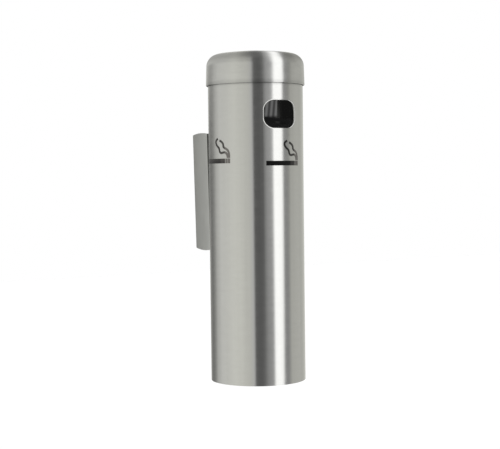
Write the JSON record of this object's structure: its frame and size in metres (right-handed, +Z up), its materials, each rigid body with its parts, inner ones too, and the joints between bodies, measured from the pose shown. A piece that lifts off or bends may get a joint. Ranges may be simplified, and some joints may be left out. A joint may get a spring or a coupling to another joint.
{
  "type": "wall-mounted cigarette bin",
  "caption": "Slim cylindrical stainless cigarette bin that hangs on a wall bracket, with a slip-over lid, a rounded rectangular opening near the top and a lift-out inner container.",
  "frame": {"origin": "middle of the wall bracket's back face, where it lies on the wall", "axes": "+Z up along the tube, +Y into the wall, the opening faces -Y"},
  "size_m": [0.079, 0.1044, 0.2635],
  "materials": {
    "tube_steel": "satin, brushed round the tube",
    "lid_steel": "satin, brushed round the cap",
    "bracket_steel": "satin sheet",
    "sheet_steel": "mill-finish stainless sheet",
    "spring_steel": "rolled spring steel",
    "screw_steel": "stainless fastener",
    "rivet_steel": "stainless rivet",
    "liner_paint": "matt black powder coat",
    "wire": "black coated wire",
    "grip_plastic": "black plastic sleeve",
    "print": "matt black print"
  },
  "bodies": {
    "bracket": {"wall_bracket": "bracket_steel", "lock_screw": "screw_steel", "lock_washer": "screw_steel"},
    "housing": {"tube": "tube_steel", "base_disc": "sheet_steel", "hanger_rail": "sheet_steel", "rail_rivets": "rivet_steel", "lock_nut": "screw_steel", "pictogram_front": "print", "pictogram_left": "print", "pictogram_right": "print"},
    "container": {"liner": "liner_paint", "liner_base": "liner_paint", "bail_ear_left": "liner_paint", "bail_ear_right": "liner_paint", "ear_rivets": "rivet_steel"},
    "bail": {"bail_handle": "wire", "bail_grip": "grip_plastic"},
    "cap": {"lid": "lid_steel", "lid_clip_1": "spring_steel", "lid_clip_2": "spring_steel", "lid_clip_3": "spring_steel"}
  },
  "joints": [
    {"name": "unit_lift", "type": "slide", "parent": "bracket", "child": "housing", "axis": [0, 0, 1], "range_m": [0, 0.1]},
    {"name": "liner_lift", "type": "slide", "parent": "housing", "child": "container", "axis": [0, 0, 1], "range_m": [0, 0.26]},
    {"name": "bail_swing", "type": "hinge", "parent": "container", "child": "bail", "pos_m": [0, -0.0649, 0.05616], "axis": [1, 0, 0], "range_deg": [0, 180]},
    {"name": "lid_lift", "type": "slide", "parent": "container", "child": "cap", "axis": [0, 0, 1], "range_m": [0, 0.045]}
  ]
}
